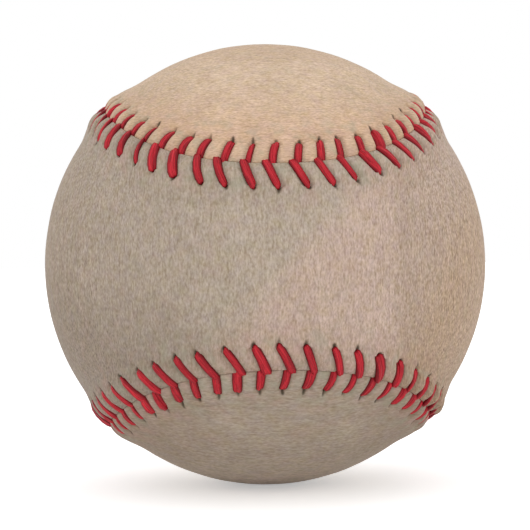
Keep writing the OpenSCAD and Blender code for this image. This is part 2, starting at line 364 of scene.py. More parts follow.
def makeLegs(name, leg, material):
    path = np.array(leg["path"])
    rings = len(path)
    count = seam["stitches"]
    template = plyTemplate(rings)
    rod = np.zeros(len(template.vertices) * 3)
    template.vertices.foreach_get("co", rod)
    rod = rod.reshape(-1, 3)
    ring = np.rint((rod[:, 2] + 0.5) * (rings - 1)).astype(int)
    form = bmesh.new()
    for ply in range(2 * count):
        form.from_mesh(template)
    mesh = keepForm(form, bpy.data.meshes.new(name))
    bpy.data.meshes.remove(template)

    # the middle line of every leg, ring by ring
    arc = np.sin(math.pi * path[None, :, 1].clip(0, 1))
    run = leg["starts"][:, None] - leg["slants"][:, None] * path[None, :, 0]
    run = run + leg["bows"][:, None] * arc
    off = leg["holes"][:, None] * path[None, :, 1]
    height = path[None, :, 2] * mm - leg["sinks"][:, None]
    middle = placeRays(run, leg["side"] * off) * (seam["ballRadius"] + height)[..., None]
    outward = unitRays(middle)
    tangent = unitRays(np.gradient(middle, axis=1))
    up = unitRays(outward - (outward * tangent).sum(-1, keepdims=True) * tangent)

    # the rings stand between square to the leg and along the seam
    square = np.cross(tangent, up)
    step = 0.05 * mm
    seamWay = placeRays(run + step, leg["side"] * off) - placeRays(run - step, leg["side"] * off)
    seamWay = unitRays(seamWay)
    seamWay = seamWay * np.sign((seamWay * square).sum(-1, keepdims=True))
    cut = path[None, :, 4, None]
    flank = unitRays((1 - cut) * square + cut * seamWay)
    flank = flank / (flank * square).sum(-1, keepdims=True).clip(0.5, 1)
    share = np.linspace(0, 1, rings)
    fromMiddle = (share - 0.5)[None, :]
    body = path[None, :, 3] * leg["swells"][:, None] * (1 + leg["slopes"][:, None] * fromMiddle)

    # two plies that wind round the middle line
    legPlace = np.arange(count)[:, None]
    halfWidth = stitches["plySpread"] + stitches["plyRadius"]
    points, plySpace, plyShade, across, ends, tones = [], [], [], [], [], []
    for ply in (1, -1):
        phase = leg["turns"][:, None] + leg["twists"][:, None] * fromMiddle
        toPly = np.cos(phase)[..., None] * flank + np.sin(phase)[..., None] * up
        centre = middle + ply * (stitches["plySpread"] * body)[..., None] * toPly
        radius = stitches["plyRadius"] * body
        sideways = rod[None, :, 0, None] * flank[:, ring]
        upwards = rod[None, :, 1, None] * up[:, ring] * stitches["flatten"]
        points.append(centre[:, ring] + radius[:, ring, None] * (sideways + upwards))
        inward = -ply * (sideways * toPly[:, ring] + upwards * toPly[:, ring]).sum(-1)
        # the inner side of each ply, which gets painted shade where the two plies meet
        plyShade.append(inward.clip(0, 1))
        aside = ((points[-1] - middle[:, ring]) * square[:, ring]).sum(-1)
        across.append(np.abs(aside) / (halfWidth * body[:, ring]))
        ends.append(np.broadcast_to(share[ring][None, :], inward.shape))
        tones.append(np.broadcast_to(leg["tones"][:, None], inward.shape))
        plySpace.append(np.stack(np.broadcast_arrays(
            rod[None, :, 0] + stitches["fibreShift"] * legPlace + ply, rod[None, :, 1],
            share[ring][None, :] * stitches["fibreStretch"]), axis=-1))
    points = np.stack(points, axis=1).reshape(-1, 3)
    mesh.vertices.foreach_set("co", points.ravel())
    for label, values in (("plyShade", plyShade), ("across", across), ("legShare", ends), ("legTone", tones)):
        keepLayer(mesh, label, np.stack(values, axis=1))
    keepLayer(mesh, "plySpace", np.stack(plySpace, axis=1), "FLOAT_VECTOR", "vector")
    form = bmesh.new()
    form.from_mesh(mesh)
    bmesh.ops.recalc_face_normals(form, faces=form.faces)
    keepForm(form, mesh)
    piece = addObject(name, mesh)
    mesh.materials.append(material)
    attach(piece, "root")
    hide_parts("seam_thread")
    print("  ", name, len(mesh.vertices), "vertices")


# the leather panels

leather = {
    "thickness": 1.2 * mm,
    "surface": -0.055 * mm,     # the plain leather's height over the ball
    "edgeRise": 0.46 * mm,
    "weltCrestAt": 2.2 * mm,
    "puffRise": 0.25 * mm,      # swelling between two stitches
    "puffReach": 1.15,          # how far it goes on, as a share of the way to the needle hole
    "edgeRoll": 0.06 * mm,      # how far the rolled edge turns down into the seam
    "edgeRollFrom": 0.02 * mm,
    "edgeRollWidth": 0.4 * mm,
    "grooveHalf": 0.74 * mm,
    "grooveDeep": 0.60 * mm,
    "slackShares": (0.4, 0.6),  # of that depth: always there, and following the swelling
    "grooveEnd": 0.9 * mm,      # how far past the hole a groove runs out
    "bedShare": 0.4,            # how far above a groove's bottom a leg's middle lies, in ply radii
    "bedPastHole": 0.55 * mm,
    "fullnessPastHole": 0.5,
    "holeDepth": 0.36 * mm,
    "holeAt": 0.15 * mm,        # past the leg's end
    "holeWidth": 0.28 * mm,
    "holeLength": 0.40 * mm,
    "dimple": 0.22 * mm,        # the dip round a needle hole
    "dimpleWidth": 0.8 * mm,
    "dimpleLength": 0.9 * mm,
    "waviness": 0.012 * mm,
    "waves": 18,
    "waveLengths": (3.5, 11),   # in mm
    "hemReach": 3.5 * mm,       # how far in the underside rises to meet the edge
    "soilReach": 4 * mm,        # how far the soil beside the seam keeps its strength, and then fades
    "weld": 0.0005 * mm,
    "capRows": 30,
    # places of the columns round a leg, as shares of the pitch
    "columnShares": (-0.43, -0.32, -0.23, -0.16, -0.105, -0.05, 0.0,
                     0.05, 0.105, 0.16, 0.23, 0.32, 0.43, 0.5),
    # places of the rows across the welt, in mm from the seam; the first two go down the cut edge
    "rows": (0.04, 0.02, 0.02, 0.10, 0.22, 0.36, 0.56, 0.82, 1.12, 1.42, 1.72, 2.02, 2.32, 2.62,
             2.92, 3.18, 3.4, 3.6, 3.8, 4.0, 4.2, 4.44, 4.8, 5.3, 5.9, 6.6, 7.3, 8.0),
    "edgeDrops": (1.15, 0.6),
    "innerShares": (0, 0.02, 0.06, 0.13, 0.24, 0.37, 0.5, 0.63, 0.76, 0.87, 0.94, 0.98, 1),
}
# the marks past the needle holes, partly grime and partly painted shade in the holes, and the dark rims
# beside the legs, a painted contact shadow that is partly dirt; lengths without mm are in mm
marks = {
    "from": 0.12 * mm,
    "width": 0.33,
    "taper": 0.08,
    "spotDark": 0.9,
    "spotWidth": 0.26,
    "spotAt": 0.1,
    "spotLength": 0.22,
    "rimAt": 0.68 * mm,         # from the leg's middle
    "rimWidth": 0.22 * mm,
}


def weltHeight(off, top, foot):
    crest = leather["weltCrestAt"]
    climb = np.sin(math.pi / 2 * (off / crest).clip(0, 1))
    rise = leather["edgeRise"] + (top - leather["edgeRise"]) * climb
    fall = top * (1 + np.cos(math.pi * ((off - crest) / (foot - crest)).clip(0, 1))) / 2
    return np.where(off < crest, rise, fall)


def softWaves(points):
    # a slow unevenness of the leather, from a few seeded waves
    height = np.zeros(len(points))
    for wave in range(leather["waves"]):
        direction = unitRays(leatherDice.normal(0, 1, 3))
        length = leatherDice.uniform(*leather["waveLengths"]) * mm
        height += np.sin(points @ direction * 2 * math.pi / length + leatherDice.uniform(0, 2 * math.pi))
    return leather["waviness"] * height / math.sqrt(leather["waves"] / 2)


def bandFields(leg, column, off):
    # for each column and row: run along the seam, height over the ball, needle mark (partly painted shade
    # in the hole), dark rim (painted contact shadow, partly dirt), painted highlight between two legs
    perStitch = len(leather["columnShares"])
    number = column // perStitch
    share = np.array(leather["columnShares"])[column % perStitch]
    here = number % seam["stitches"]
    side = np.where(share < 0, -1, 1)
    there = (here + side) % seam["stitches"]
    wrap = firstStitch + leg["lead"] + number * pitch

    def toNext(values):
        # between a leg's own value and that of the leg next to it
        return values[here] + np.abs(share) * (values[there] - values[here])

    holeNear = toNext(leg["holes"])
    reach = off / holeNear
    bow = np.sin(math.pi * reach.clip(0, 1))

    def line(which, base):
        stray = leg["starts"][which] - (firstStitch + leg["lead"] + which * pitch)
        return base + stray - leg["slants"][which] * reach.clip(0, 1) + leg["bows"][which] * bow

    own = line(here, wrap)
    other = line(there, wrap + side * pitch)
    run = own + np.abs(share) * (other - own)
    apart = np.abs(share) * pitch * math.cos(math.atan2(leg["slant"], leg["holeAt"]))

    # the welt and the swelling between two stitches
    between = (1 - np.cos(2 * math.pi * share)) / 2
    slack = toNext(leg["puffs"])
    swelling = np.sin(math.pi * (off / (leather["puffReach"] * holeNear)).clip(0, 1))
    height = weltHeight(off, leg["welt"], leg["foot"])
    height = height + leather["puffRise"] * slack * between * swelling

    # the groove that the leg presses in
    path = np.array(leg["path"])
    threadHeight = np.interp(reach, path[:, 1], path[:, 2] * mm, right=leather["bedPastHole"])
    bed = threadHeight - leather["bedShare"] * stitches["plyRadius"] * stitches["flatten"]
    fullness = np.interp(reach, path[:, 1], path[:, 3], right=leather["fullnessPastHole"])
    fullness = fullness * leg["swells"][here]
    groove = np.exp(-(apart / (leather["grooveHalf"] * fullness)) ** 4)
    always, following = leather["slackShares"]
    deepest = height - leather["grooveDeep"] * (always + following * slack)
    pressed = np.minimum(height, np.maximum(bed, deepest))
    groove = groove * (1 - ((off - holeNear) / leather["grooveEnd"]).clip(0, 1) ** 2)
    height = height + (pressed - height) * groove

    # the needle hole, the dip round it and the rolled edge
    beyond = off - leg["holes"][here]
    lean = share * pitch - leg["leans"][here] * beyond.clip(0, None)
    dimple = np.exp(-(share * pitch / leather["dimpleWidth"]) ** 2
                    - (beyond / leather["dimpleLength"]) ** 2)
    pit = np.exp(-(lean / leather["holeWidth"]) ** 2
                 - ((beyond - leather["holeAt"]) / leather["holeLength"]) ** 2)
    height = height - leather["dimple"] * dimple - leather["holeDepth"] * pit
    rollWidth = leather["edgeRollWidth"]
    roll = ((rollWidth + leather["edgeRollFrom"] - off) / rollWidth).clip(0, 1)
    height = height - leather["edgeRoll"] * (1 - np.sqrt(1 - roll ** 2))

    # the dark mark past the hole, partly grime and partly painted shade in the hole, the dark rim beside
    # the leg, a painted contact shadow that is partly dirt, and a painted highlight on the swelling
    # between two legs
    along = (beyond - marks["from"] - leg["gaps"][here]) / leg["marks"][here]
    width = (marks["width"] - marks["taper"] * along.clip(-1, 1)) * mm
    mark = leg["grime"][here] * np.exp(-(lean / width) ** 2 - np.abs(along) ** 3)
    # a dark spot round the needle hole: painted shade in the hole
    size = leg["tipMark"] * mm
    spotAway = (beyond - marks["spotAt"] * size) / (marks["spotLength"] * size)
    spot = np.exp(-(lean / (marks["spotWidth"] * size)) ** 2 - spotAway ** 2)
    mark = np.maximum(mark, marks["spotDark"] * spot)
    # a dark rim beside the leg: painted contact shadow, partly dirt
    rim = np.exp(-((apart - marks["rimAt"]) / marks["rimWidth"]) ** 2) * (off < holeNear)
    # a painted highlight on the leather that swells between two legs
    puffHighlight = between * np.sin(math.pi * (off / holeNear).clip(0, 1))
    return run, height, mark, rim, puffHighlight


def makePanel(name, leg, node, material):
    side = leg["side"]
    columns = len(leather["columnShares"]) * seam["stitches"]
    rows = len(leather["rows"])
    ribs = columns // 2
    capRows = leather["capRows"]
    innerRows = len(leather["innerShares"]) - 1
    form = bmesh.new()
    for across, up in ((columns, rows - 1), (ribs, capRows), (ribs, innerRows)):
        bmesh.ops.create_grid(form, x_segments=across, y_segments=up, size=0.5)
    mesh = keepForm(form, bpy.data.meshes.new(name))

    # the stitched band, from the cut edge out over the welt
    column = np.tile(np.arange(columns + 1), rows)
    row = np.repeat(np.arange(rows), columns + 1)
    off = np.array(leather["rows"])[row] * mm
    run, height, mark, rim, puffHighlight = bandFields(leg, column, off)
    cutRows = len(leather["edgeDrops"])
    drops = np.zeros(rows)
    drops[:cutRows] = leather["edgeDrops"]
    height = height - drops[row] * mm
    rays = placeRays(run, side * off)
    height = height + leather["surface"] * (off / (leather["rows"][-1] * mm))
    band = rays * (seam["ballRadius"] + height)[:, None]
    fade = 1 - ((off - leather["soilReach"]) / leather["soilReach"]).clip(0, 1)

    # ribs that join the two sides of a ring, from one end of the panel's spine to the other
    def ribPoints(ring, shares, lift):
        crossing = seamLength * (3 / 8 if side > 0 else 1 / 8)
        ringRuns = run[row == rows - 1][:columns]
        steps = len(leather["columnShares"])
        legColumns = np.arange(leather["columnShares"].index(0.0), columns, steps)
        gap = np.abs((ringRuns[legColumns] - crossing + seamLength / 2) % seamLength - seamLength / 2)
        start = legColumns[np.argmin(gap)]
        rib = np.arange(ribs + 1)
        first, second = ring[(start + rib) % columns], ring[(start - rib) % columns]
        angle = np.arccos((unitRays(first) * unitRays(second)).sum(-1).clip(-1, 1))
        safe = np.maximum(np.sin(angle), 1e-9)
        made = []
        for share in shares:
            rays = np.sin((1 - share) * angle)[:, None] * unitRays(first)
            rays = (rays + np.sin(share * angle)[:, None] * unitRays(second)) / safe[:, None]
            rays = np.where((angle < 1e-6)[:, None], unitRays(first), rays)
            reach = angle * min(share, 1 - share) * seam["ballRadius"]
            made.append(unitRays(rays) * lift(reach, share, first, second)[:, None])
        return np.concatenate(made)

    ringOuter = band[row == rows - 1][:columns]
    ringInner = band[row == 0][:columns]
    plain = seam["ballRadius"] + leather["surface"]
    outer = ribPoints(ringOuter, np.linspace(0, 1, capRows + 1),
                      lambda reach, share, first, second: np.full(len(reach), plain))

    def innerLift(reach, share, first, second):
        ends = (1 - share) * np.linalg.norm(first, axis=1) + share * np.linalg.norm(second, axis=1)
        deep = seam["ballRadius"] - leather["thickness"]
        return deep + (ends - deep) * np.exp(-(reach / leather["hemReach"]) ** 2)

    inner = ribPoints(ringInner, leather["innerShares"], innerLift)
    points = np.concatenate([band, outer, inner])
    isWavy = np.concatenate([row > cutRows, np.ones(len(outer), bool), np.zeros(len(inner), bool)])
    raised = unitRays(points) * softWaves(points)[:, None]
    points = np.where(isWavy[:, None], points + raised, points)
    blank = np.zeros(len(outer) + len(inner))
    mesh.vertices.foreach_set("co", points.ravel())
    for label, values in (("needleMark", mark), ("legShadow", rim), ("puffHighlight", puffHighlight), ("seamNear", fade)):
        keepLayer(mesh, label, np.concatenate([values, blank]))
    form = bmesh.new()
    form.from_mesh(mesh)
    bmesh.ops.remove_doubles(form, verts=form.verts, dist=leather["weld"])
    bmesh.ops.recalc_face_normals(form, faces=form.faces)
    for face in form.faces:
        face.smooth = True
    openEdges = sum(1 for e in form.edges if not e.is_manifold)
    keepForm(form, mesh)
    piece = addObject(name, mesh)
    mesh.materials.append(material)
    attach(piece, "root")
    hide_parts(node)
    print("  ", name, len(mesh.polygons), "faces,", openEdges, "open edges")


# hair-fine streaks and pores of worn leather, and its blotches
fibreLook = {
    "fineShare": 0.62,
    "longShare": 0.38,
    "poreScale": 2.2,           # per mm
    "poreHeight": 0.35,
    "streakHeight": 0.65,
    "tintFiner": 2.7,           # patches of each kind are so much smaller than the blotches
    "mottleFiner": 4.4,
}


def makeFibreGroup():
    # the two grains are coordinates that come in stretched along the fibre
    look = fibreLook
    tree, given, made = newGroup("leatherFibre", [
        ("Grain", "NodeSocketVector", None), ("Long Grain", "NodeSocketVector", None),
        ("Plain", "NodeSocketVector", None), ("Blotch Scale", "NodeSocketFloat", 1.0),
    ], [("Streaks", "NodeSocketFloat"), ("Blotches", "NodeSocketFloat"), ("Tint", "NodeSocketFloat"),
        ("Mottle", "NodeSocketFloat"), ("Height", "NodeSocketFloat")])
    fine = addNoise(tree, given["Grain"], 1.0, detail=1.5)
    long = times(tree, addNoise(tree, given["Long Grain"], 1.0), look["longShare"])
    streaks = times(tree, fine, look["fineShare"], long)
    pores = addNoise(tree, given["Plain"], look["poreScale"])
    height = times(tree, streaks, look["streakHeight"])
    height = times(tree, pores, look["poreHeight"], height)
    blotches = addNoise(tree, given["Plain"], given["Blotch Scale"], detail=4.0, roughness=0.6,
                        distortion=0.4)
    for label, value in (("Streaks", streaks), ("Blotches", blotches), ("Height", height)):
        tree.links.new(value, made[label])
    for label, finer in (("Tint", look["tintFiner"]), ("Mottle", look["mottleFiner"])):
        scale = times(tree, given["Blotch Scale"], finer)
        tree.links.new(addNoise(tree, given["Plain"], scale, detail=3.0), made[label])
    return tree


def makeZoneGroup():
    # a soft-edged zone along one axis, with an edge that wanders
    tree, given, made = newGroup("softZone", [
        ("Place", "NodeSocketFloat", 0.0), ("Noise", "NodeSocketFloat", 0.5),
        ("From", "NodeSocketFloat", 0.0), ("To", "NodeSocketFloat", 1.0),
        ("Wander", "NodeSocketFloat", 0.0),
    ], [("Mask", "NodeSocketFloat")])
    stray = times(tree, calculate(tree, "SUBTRACT", given["Noise"], 0.5), given["Wander"])
    moved = calculate(tree, "ADD", given["Place"], stray)
    tree.links.new(spread(tree, moved, given["From"], given["To"]), made["Mask"])
    return tree


fibreGroup = makeFibreGroup()
zoneGroup = makeZoneGroup()


def readAttribute(tree, name):
    return addNode(tree, "Attribute", attribute_name=name).outputs["Fac"]


def addZone(tree, place, noise, start, end, wander):
    # a mask that goes from 0 at start to 1 at end, both in mm, as is how far its edge wanders
    return placeGroup(tree, zoneGroup, {"Place": place, "From": start * mm, "To": end * mm,
                                        "Noise": noise, "Wander": wander * mm})["Mask"]


# what both panels share: the fibre, the blotches, the needle marks with painted shade in the holes, grime
# and a painted contact shadow beside the thread, and a painted highlight between the stitches
leatherFinish = {
    "blotchScale": 0.16,
    "blotchDark": 0.04,
    "blotchLight": 0.035,
    "streakWarmth": (1.13, 1.3),    # how much more streaks change the green and the blue than the red
    "blueLoss": 0.3,
    "mottle": 0.38,             # small patches of a yellower or bluer shade
    # greener and pinker patches: where in their noise each starts and is whole, its share over the open
    # leather with what is added to it beside the seam, and its colour
    "tints": (
        ((0.50, 0.72), (0.14, 0.34), paint(158, 160, 138)),
        ((0.48, 0.30), (0.14, 0.22), paint(190, 152, 142)),
    ),
    "soil": paint(251, 249, 248),
    # painted contact shadow beside the legs, partly dirt, and its share
    "rim": paint(120, 112, 92),
    "legShadowShare": 0.30,
    # a painted highlight between the stitches
    "puffHighlight": paint(120, 108, 84),
    # the needle marks: grime past each hole, with painted shade in the hole
    "mark": ((0.12, 0.85), 0.9, paint(68, 58, 40)),
    "roughness": (0.66, 0.78),
    "gloss": {"Specular IOR Level": 0.25, "Sheen Weight": 0.04},
    "bump": (0.55, 0.06 * mm),  # strength and distance
}
# a reach is where a zone starts, where it is whole and how far its edge wanders, in mm; each of the zones:
# how much z is added to x, its reach and its colour; the grains are in streaks per metre
frontHide = {
    "base": paint(158, 140, 122),
    "zones": (
        (0.0, (-38, -25, 4), paint(167, 151, 135)),
        (0.0, (-26, -1, 8), paint(178, 162, 145)),
        (-0.9, (-2, 6, 8), paint(191, 167, 151)),
        (0.0, (16.5, 19.5, 4), paint(180, 157, 140)),
        (-0.5, (21, 31, 6), paint(177, 151, 127)),
    ),
    # painted shade: the hide grows darker down z
    "low": (-3, -22, 6),        # down z, with a quarter of x
    "lowTilt": 0.25,
    "paintedLowShade": paint(229, 228, 227),
    "grain": (3900, 2300, 1700),
    "longGrain": (2500, 1500, 520),
    # the grain is finer towards the two sides, and stands out more there on the front half
    "right": (11, 31, 4),
    "left": (-16, -34, 4),
    "inFront": (-2, -15, 2),
    "contrast": 0.30,
    "rightContrast": 0.22,
    "leftContrast": 0.12,
    "rightFiner": 0.30,
    "leftFiner": 0.22,
    "blotching": 0.95,
    "tinting": 0.8,
    "puffHighlighting": 0.09,
}
backHide = {
    "top": paint(209, 176, 148),
    "topHigh": ((19, 30, 6), paint(207, 181, 155)),
    # painted shade: the top is darker away from its middle and towards its very top
    "topAsideShade": ((6, 20, 8), paint(245, 243, 240)),     # away from the middle on both sides
    "topEdgeShade": ((31, 36, 2), paint(240, 236, 231)),
    "bottom": paint(169, 153, 136),
    "bottomLeft": ((-8, -21, 8), paint(159, 140, 122)),
    "bottomRight": ((10, 23, 8), paint(156, 137, 119)),
    # painted light: lighter at the very bottom, against the floor's shadow
    "bottomPaintedLight": ((-29, -36, 2), paint(194, 176, 158)),
    "topToBottom": (15, -17, 14),
    "grain": (1900, 2000, 7200),
    "longGrain": (560, 1100, 4600),
    "upperHalf": (0, 12, 4),
    "contrast": 0.265,
    "upperContrast": 0.02,
    "lowerHalf": (-5, -25, 0),
    "lowerFiner": -0.25,
    "blotching": 1.5,
    "tinting": 0.9,
    "upperPuffHighlighting": 0.4,
}


def finishLeather(tree, sockets, coordinates, colour, hide, contrast, puffHighlighting):
    finish = leatherFinish
    fibre = placeGroup(tree, fibreGroup, {
        "Grain": stretched(tree, coordinates, *hide["grain"]),
        "Long Grain": stretched(tree, coordinates, *hide["longGrain"]),
        "Plain": inMm(tree, coordinates),
        "Blotch Scale": finish["blotchScale"],
    })

    # streaks and blotches, which change the red least and the blue most
    streakDark = calculate(tree, "SUBTRACT", 1.0, contrast)
    streakLight = calculate(tree, "ADD", 1.0, contrast)
    streakTone = spread(tree, fibre["Streaks"], *noiseReach, streakDark, streakLight, smooth=False)
    blotchDark = 1 - finish["blotchDark"] * hide["blotching"]
    blotchLight = 1 + finish["blotchLight"] * hide["blotching"]
    blotchTone = spread(tree, fibre["Blotches"], *noiseReach, blotchDark, blotchLight)
    tone = times(tree, streakTone, blotchTone)
    green, blue = finish["streakWarmth"]
    mottle = finish["mottle"]
    mottled = times(tree, fibre["Mottle"], mottle, -finish["blueLoss"] - mottle / 2)
    toneColour = addNode(tree, "CombineColor", {
        "Red": tone, "Green": times(tree, tone, green, 1 - green),
        "Blue": times(tree, tone, blue, mottled),
    }).outputs[0]
    colour = mixColours(tree, 1.0, colour, toneColour, blend="MULTIPLY")

    # the tints, and the soil beside the seam
    near = readAttribute(tree, "seamNear")
    for reach, (plain, beside), shade in finish["tints"]:
        share = times(tree, near, beside * hide["tinting"], plain * hide["tinting"])
        colour = layOver(tree, colour, fibre["Tint"], reach, share, shade)
    colour = mixColours(tree, near, colour, finish["soil"], blend="MULTIPLY")

    # the rims beside the legs, a painted contact shadow that is partly dirt, a painted highlight on the
    # swelling between them, and the needle marks, partly painted shade in the holes
    # painted contact shadow, partly dirt, beside the legs
    rim = times(tree, readAttribute(tree, "legShadow"), finish["legShadowShare"])
    colour = mixColours(tree, rim, colour, finish["rim"])
    # a painted highlight on the swelling between the legs
    puffHighlighted = times(tree, readAttribute(tree, "puffHighlight"), puffHighlighting)
    colour = mixColours(tree, puffHighlighted, colour, finish["puffHighlight"], blend="SCREEN")
    # the needle marks: grime, with painted shade in the needle holes
    colour = layOver(tree, colour, readAttribute(tree, "needleMark"), *finish["mark"])
    roughness = spread(tree, fibre["Blotches"], *noiseReach, *finish["roughness"])
    joinShader(tree, sockets, colour, roughness, addBump(tree, fibre["Height"], *finish["bump"]))


def makeFrontLeather():
    # a greyish tan hide, warmer and pinker right of the middle, with the grain from top to bottom
    hide = frontHide
    material, tree, sockets, coordinates = newMaterial("frontLeather", **leatherFinish["gloss"])
    axes = addNode(tree, "SeparateXYZ", {"Vector": coordinates}).outputs
    wander = addNoise(tree, stretched(tree, coordinates, 1000, 1000, 600), 0.11, detail=3.0, roughness=0.6)
    colour = hide["base"]
    for tilt, reach, shade in hide["zones"]:
        place = times(tree, axes["Z"], tilt, axes["X"])
        colour = mixColours(tree, addZone(tree, place, wander, *reach), colour, shade)
    # painted shade, darker towards the bottom
    place = times(tree, axes["X"], hide["lowTilt"], axes["Z"])
    low = addZone(tree, place, wander, *hide["low"])
    colour = mixColours(tree, low, colour, hide["paintedLowShade"], blend="MULTIPLY")
    right, left, inFront = (addZone(tree, axes[axis], wander, *hide[name])
                            for axis, name in (("X", "right"), ("X", "left"), ("Y", "inFront")))
    contrast = times(tree, left, hide["leftContrast"])
    contrast = times(tree, right, hide["rightContrast"], contrast)
    contrast = times(tree, contrast, inFront, hide["contrast"])
    finer = times(tree, left, hide["leftFiner"], 1.0)
    finer = times(tree, right, hide["rightFiner"], finer)
    coordinates = scaled(tree, coordinates, finer, finer, 1.0)
    finishLeather(tree, sockets, coordinates, colour, hide, contrast, hide["puffHighlighting"])
    return material


def makeBackLeather():
    # a pale tan hide at the top that greys towards the bottom, with the grain from side to side
    hide = backHide
    material, tree, sockets, coordinates = newMaterial("backLeather", **leatherFinish["gloss"])
    axes = addNode(tree, "SeparateXYZ", {"Vector": coordinates}).outputs
    wander = addNoise(tree, inMm(tree, coordinates), 0.10, detail=3.0, roughness=0.6)

    def overlay(colour, place, name, blend="MIX"):
        reach, shade = hide[name]
        return mixColours(tree, addZone(tree, place, wander, *reach), colour, shade, blend=blend)

    upper = overlay(hide["top"], axes["Z"], "topHigh")
    # painted shade, darker away from the middle and towards the very top
    upper = overlay(upper, calculate(tree, "ABSOLUTE", axes["X"]), "topAsideShade", blend="MULTIPLY")
    upper = overlay(upper, axes["Z"], "topEdgeShade", blend="MULTIPLY")
    lower = overlay(hide["bottom"], axes["X"], "bottomLeft")
    lower = overlay(lower, axes["X"], "bottomRight")
    # painted light at the very bottom, against the floor's shadow
    lower = overlay(lower, axes["Z"], "bottomPaintedLight")
    colour = mixColours(tree, addZone(tree, axes["Z"], wander, *hide["topToBottom"]), upper, lower)
    upperHalf = addZone(tree, axes["Z"], wander, *hide["upperHalf"])
    puffHighlighting = times(tree, upperHalf, hide["upperPuffHighlighting"])
    contrast = times(tree, upperHalf, hide["upperContrast"], hide["contrast"])
    lowerHalf = addZone(tree, axes["Z"], wander, *hide["lowerHalf"])
    finer = times(tree, lowerHalf, hide["lowerFiner"], 1.0)
    coordinates = scaled(tree, coordinates, finer, finer, finer)
    finishLeather(tree, sockets, coordinates, colour, hide, contrast, puffHighlighting)
    return material


# each layer: where it starts and where it is whole, its share and its colour
threadFinish = {
    "fibreScales": (3.2, 3.2, 0.8),     # round a ply and along it
    "fuzzScale": 4.0,           # per mm
    "dark": paint(122, 6, 20),
    "light": paint(200, 33, 47),
    "lightReach": (0.34, 0.68),
    "worn": ((0.55, 0.75), 0.35, paint(210, 62, 68)),
    # painted shade in the crease between the two plies
    "plyShade": ((0.4, 1.0), 0.55, paint(112, 6, 16)),    # where two plies meet
    # a painted highlight along the middle of a leg, its share following the fibres
    "paintedHighlight": paint(218, 54, 66),    # along the middle of a leg
    "highlightReach": (0.6, 0.0),
    "highlightFibres": (0.25, 0.75, 0.2, 0.8),  # its share follows the fibres
    # painted shade on both flanks of each leg
    "flank": ((0.46, 0.98), 0.9, paint(104, 6, 16)),
    # painted shade where a leg sinks into its needle hole
    "tip": ((0.88, 1.0), 0.7, paint(96, 14, 20)),
    "legTones": (0.90, 1.11),
    "roughness": (0.42, 0.6),
    "gloss": {"Specular IOR Level": 0.22},
    "bump": (0.6, 0.08 * mm),
}


def makeThreadMaterial():
    # waxed red thread: fine fibres that wind round each ply, with painted shade where two plies meet, on
    # the flanks of each leg and where it sinks into its hole, and a painted highlight along the middle of
    # each leg
    finish = threadFinish
    material, tree, sockets, coordinates = newMaterial("waxedThread", **finish["gloss"])
    space = addNode(tree, "Attribute", attribute_name="plySpace").outputs["Vector"]
    space = stretched(tree, space, *finish["fibreScales"])
    fibres = addNoise(tree, space, 1.0, detail=3.0, roughness=0.6, distortion=0.5)
    fuzz = addNoise(tree, inMm(tree, coordinates), finish["fuzzScale"])
    across = readAttribute(tree, "across")
    light = spread(tree, fibres, *finish["lightReach"])
    colour = mixColours(tree, light, finish["dark"], finish["light"])
    colour = layOver(tree, colour, fuzz, *finish["worn"])
    # painted shade where the two plies meet
    colour = layOver(tree, colour, readAttribute(tree, "plyShade"), *finish["plyShade"])
    # a painted highlight along the middle of each leg
    share = spread(tree, fibres, *finish["highlightFibres"])
    colour = layOver(tree, colour, across, finish["highlightReach"], share, finish["paintedHighlight"])
    # painted shade on the flanks of each leg
    colour = layOver(tree, colour, across, *finish["flank"])
    tone = spread(tree, readAttribute(tree, "legTone"), 0.0, 1.0, *finish["legTones"], smooth=False)
    tone = addNode(tree, "CombineColor", {"Red": tone, "Green": tone, "Blue": tone}).outputs[0]
    colour = mixColours(tree, 1.0, colour, tone, blend="MULTIPLY")
    # painted shade where a leg sinks into its needle hole
    colour = layOver(tree, colour, readAttribute(tree, "legShare"), *finish["tip"])
    roughness = spread(tree, fibres, *noiseReach, *finish["roughness"])
    joinShader(tree, sockets, colour, roughness, addBump(tree, fibres, *finish["bump"]))
    return material


threadMaterial = makeThreadMaterial()
makePanel("frontCover", legs["front"], "front_panel", makeFrontLeather())
makePanel("backCover", legs["back"], "back_panel", makeBackLeather())
print("stage 3: leather panels made")
makeLegs("frontStitches", legs["front"], threadMaterial)
makeLegs("backStitches", legs["back"], threadMaterial)
print("stage 4: stitches made")


# what lies under the leather keeps its own shape and gets its finish

# scales are per mm, a bump is a strength and a distance, and gaps come in like the layers of the thread
cork = {
    "cellScale": 0.75,
    "dark": paint(150, 104, 62),
    "light": paint(206, 164, 112),
    "gaps": ((0.35, 0.75), 0.6, paint(92, 60, 36)),
    "roughness": (0.7, 0.9),
    "bump": (0.4, -0.2 * mm),
}
rubber = {
    "cloudScale": 0.35,
    "dustScale": 3.0,
    "dustRougher": 0.15,
    "bump": (0.25, 0.05 * mm),
    "black": (paint(26, 26, 28), paint(44, 44, 48), 0.5),   # darkest, lightest, roughness
    "red": (paint(140, 30, 28), paint(172, 44, 38), 0.45),
}
yarn = {
    "turns": ((0.3, 0.2, 0.0), (1.2, 0.5, 0.9), (0.7, 1.4, 2.0)),   # the ways in which it is laid
    "fuzzScale": 1.6,
    "patchScale": 0.09,
    "patchFiner": 0.02,         # added for every turn
    "patchEdge": (0.47, 0.53),
    "wrapShare": 0.7,
    "fuzzShare": 0.3,
    "roughness": (0.8, 0.95),
    "bump": (0.8, 0.3 * mm),
    "grey": (paint(92, 88, 82), paint(168, 162, 152), 0.9),     # darkest, lightest, strands per mm
    "white": (paint(196, 188, 172), paint(238, 232, 220), 1.1),
    "string": (paint(200, 192, 172), paint(244, 240, 226), 1.8),
}
